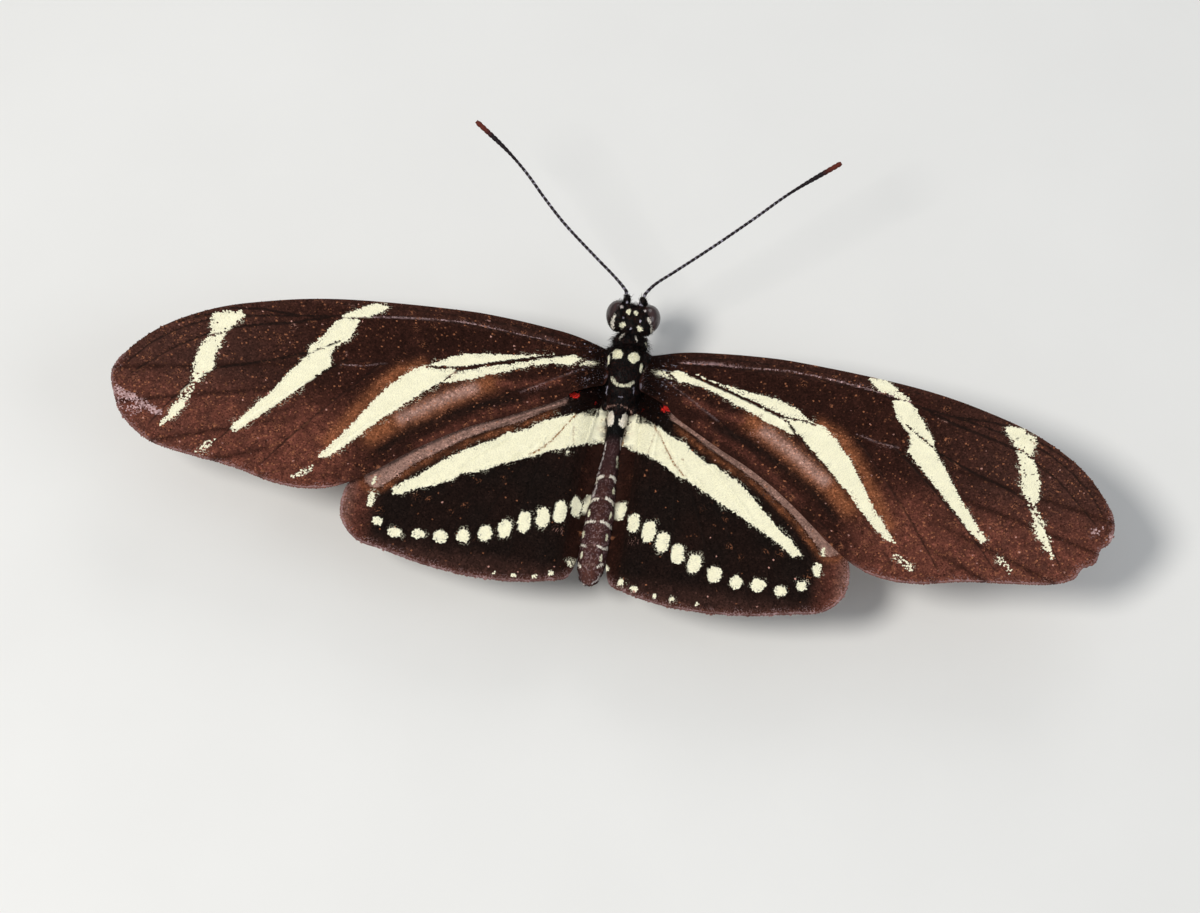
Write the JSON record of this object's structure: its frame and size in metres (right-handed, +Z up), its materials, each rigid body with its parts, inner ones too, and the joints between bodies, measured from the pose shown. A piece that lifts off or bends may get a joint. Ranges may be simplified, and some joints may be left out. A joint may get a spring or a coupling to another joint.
{
  "type": "zebra longwing butterfly",
  "caption": "Life-size still model of a zebra longwing butterfly, wings spread flat, standing on its walking legs.",
  "frame": {"origin": "on the floor, under the middle of the box around the whole insect", "axes": "+X towards the right wing's tip of an insect seen from above, +Y towards the head, +Z up"},
  "size_m": [0.0866, 0.0408, 0.0147],
  "materials": {
    "wing_membrane": "dark chocolate brown scales with cream bands and spots",
    "body_cuticle": "black, finely haired, with cream spots and pale rings",
    "compound_eye": "glossy dark brown",
    "feeler": "purplish black, brown at the tip",
    "leg_cuticle": "dark brown"
  },
  "bodies": {
    "root": {"head": "body_cuticle", "prothorax": "body_cuticle", "thorax": "body_cuticle", "abdomen": "body_cuticle", "palp_left": "body_cuticle", "palp_right": "body_cuticle", "eye_left": "compound_eye", "eye_right": "compound_eye", "antenna_left": "feeler", "antenna_right": "feeler", "proboscis": "leg_cuticle", "forewing_left": "wing_membrane", "forewing_right": "wing_membrane", "hindwing_left": "wing_membrane", "hindwing_right": "wing_membrane", "foreleg_left": "leg_cuticle", "foreleg_right": "leg_cuticle", "midleg_left_femur": "leg_cuticle", "midleg_left_tibia": "leg_cuticle", "midleg_left_tarsus": "leg_cuticle", "midleg_right_femur": "leg_cuticle", "midleg_right_tibia": "leg_cuticle", "midleg_right_tarsus": "leg_cuticle", "hindleg_left_femur": "leg_cuticle", "hindleg_left_tibia": "leg_cuticle", "hindleg_left_tarsus": "leg_cuticle", "hindleg_right_femur": "leg_cuticle", "hindleg_right_tibia": "leg_cuticle", "hindleg_right_tarsus": "leg_cuticle"}
  },
  "joints": []
}
